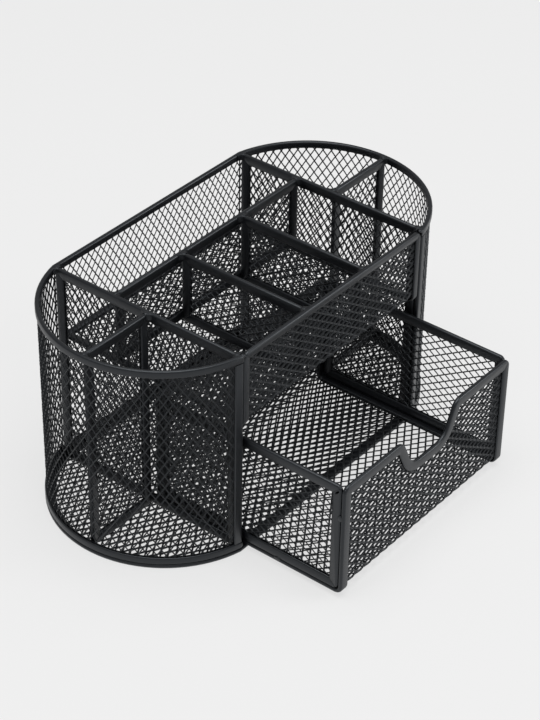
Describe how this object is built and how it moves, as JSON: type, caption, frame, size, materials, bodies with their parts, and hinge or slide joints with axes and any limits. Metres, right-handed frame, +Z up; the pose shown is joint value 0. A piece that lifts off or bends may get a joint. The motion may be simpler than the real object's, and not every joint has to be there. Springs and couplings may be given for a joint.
{
  "type": "pen stand with drawer",
  "caption": "Desk organizer in black steel mesh with four tall pen pockets in its rounded ends, a divided shelf between them and an open-topped drawer under it",
  "frame": {"origin": "under the middle of the stand and its open drawer together, on the desk", "axes": "+X runs along the stand from the near rounded end to the far one, the drawer opens towards -Y, +Z is up"},
  "size_m": [0.22, 0.1656, 0.109],
  "materials": {
    "mesh": "satin black powder coat on expanded steel mesh",
    "strip": "semi-gloss black powder coat on folded steel strip"
  },
  "bodies": {
    "stand": {"near_end_mesh_front": "mesh", "near_end_mesh_front_middle": "mesh", "near_end_mesh_rear_middle": "mesh", "near_end_mesh_rear": "mesh", "far_end_mesh_front": "mesh", "far_end_mesh_front_middle": "mesh", "far_end_mesh_rear_middle": "mesh", "far_end_mesh_rear": "mesh", "rear_mesh": "mesh", "near_cross_mesh": "mesh", "far_cross_mesh": "mesh", "long_divider_mesh": "mesh", "near_end_divider_mesh": "mesh", "far_end_divider_mesh": "mesh", "shelf_mesh": "mesh", "front_panel_mesh": "mesh", "near_pen_divider_mesh": "mesh", "far_pen_divider_mesh": "mesh", "base_mesh": "mesh", "top_rim_near_end": "strip", "top_rim_rear": "strip", "top_rim_far_end": "strip", "bottom_rim_near_end": "strip", "bottom_rim_rear": "strip", "bottom_rim_far_end": "strip", "near_front_post": "strip", "far_front_post": "strip", "near_cross_frame": "strip", "far_cross_frame": "strip", "long_divider_frame": "strip", "near_end_divider_frame": "strip", "far_end_divider_frame": "strip", "shelf_channel": "strip", "near_pen_divider_frame": "strip", "far_pen_divider_frame": "strip", "base_rim": "strip"},
    "drawer": {"drawer_front_mesh": "mesh", "drawer_floor_mesh": "mesh", "drawer_back_mesh": "mesh", "drawer_near_side_mesh": "mesh", "drawer_far_side_mesh": "mesh", "drawer_tray_channel": "strip", "drawer_near_side_frame": "strip", "drawer_far_side_frame": "strip"}
  },
  "joints": [
    {"name": "drawer_slide", "type": "slide", "parent": "stand", "child": "drawer", "axis": [0, -1, 0], "range_m": [-0.0545, 0.03]}
  ]
}
